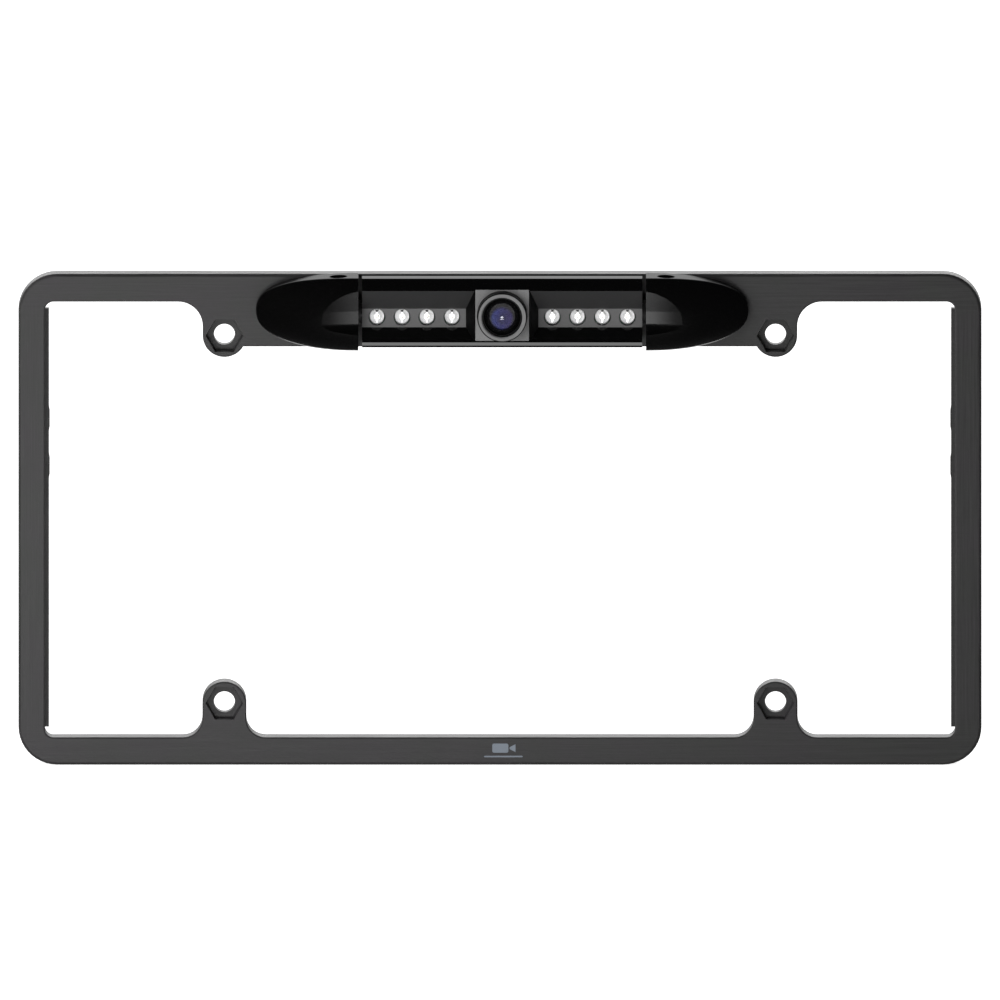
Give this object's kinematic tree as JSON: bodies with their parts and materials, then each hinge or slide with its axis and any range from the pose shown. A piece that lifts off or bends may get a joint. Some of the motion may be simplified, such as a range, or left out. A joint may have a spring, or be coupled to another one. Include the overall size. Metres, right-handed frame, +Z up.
{
  "type": "licence plate frame backup camera",
  "caption": "Black licence plate frame with a tilting camera bar between two tapered end caps: central lens, lamps in a trough on each side.",
  "frame": {"origin": "centre of the four plate bolt holes, on the frame's rear face", "axes": "+X to the right seen from in front, +Y into the vehicle (the lens looks along -Y), +Z up"},
  "size_m": [0.3106, 0.021, 0.1616],
  "materials": {
    "frame_black": "satin black with fine brush lines",
    "gloss_black": "polished black moulding",
    "panel_grey": "matt grey",
    "block_grey": "fine-textured grey",
    "ring_grey": "satin grey, turned",
    "barrel_black": "dead black",
    "lens_glass": "coated, with a blue to violet sheen",
    "filter_glass": "pale blue-green",
    "lamp_clear": "clear epoxy",
    "board_green": "green solder mask",
    "sensor_black": "black package",
    "flex_amber": "amber film",
    "rubber": "matt black",
    "nylon": "natural nylon",
    "zinc_steel": "zinc plated",
    "pin_steel": "turned",
    "black_steel": "black oxide"
  },
  "bodies": {
    "frame": {"plate_frame": "frame_black", "left_end_cap": "gloss_black", "right_end_cap": "gloss_black", "cap_screws": "zinc_steel", "left_pivot_bush": "nylon", "right_pivot_bush": "nylon"},
    "bar": {"bar_front_cover": "gloss_black", "bar_rear_cover": "gloss_black", "bar_gasket": "rubber", "bar_cover_screws": "zinc_steel", "cable_grommet": "rubber", "camera_block": "block_grey", "lens_ring": "ring_grey", "lens_barrel": "barrel_black", "lens_seal": "rubber", "front_lens": "lens_glass", "middle_lens": "lens_glass", "rear_lens": "lens_glass", "lens_holder": "barrel_black", "ir_cut_filter": "filter_glass", "image_sensor": "sensor_black", "sensor_board": "board_green", "sensor_board_screws": "zinc_steel", "left_pivot_pin": "pin_steel", "left_lamp_panel": "panel_grey", "left_lamp_board": "board_green", "left_lamp_flex": "flex_amber", "left_lamp_1": "lamp_clear", "left_lamp_2": "lamp_clear", "left_lamp_3": "lamp_clear", "left_lamp_4": "lamp_clear", "right_pivot_pin": "pin_steel", "right_lamp_panel": "panel_grey", "right_lamp_board": "board_green", "right_lamp_flex": "flex_amber", "right_lamp_1": "lamp_clear", "right_lamp_2": "lamp_clear", "right_lamp_3": "lamp_clear", "right_lamp_4": "lamp_clear"},
    "left_lock": {"left_lock_screw": "black_steel"},
    "right_lock": {"right_lock_screw": "black_steel"}
  },
  "joints": [
    {"name": "bar_tilt", "type": "hinge", "parent": "frame", "child": "bar", "pos_m": [0.0007, -0.0116, 0.0691], "axis": [1, 0, 0], "range_deg": [-15, 15]},
    {"name": "left_lock_slide", "type": "slide", "parent": "frame", "child": "left_lock", "axis": [0, 0, 1], "range_m": [0, 0.0014]},
    {"name": "right_lock_slide", "type": "slide", "parent": "frame", "child": "right_lock", "axis": [0, 0, 1], "range_m": [0, 0.0014]}
  ]
}
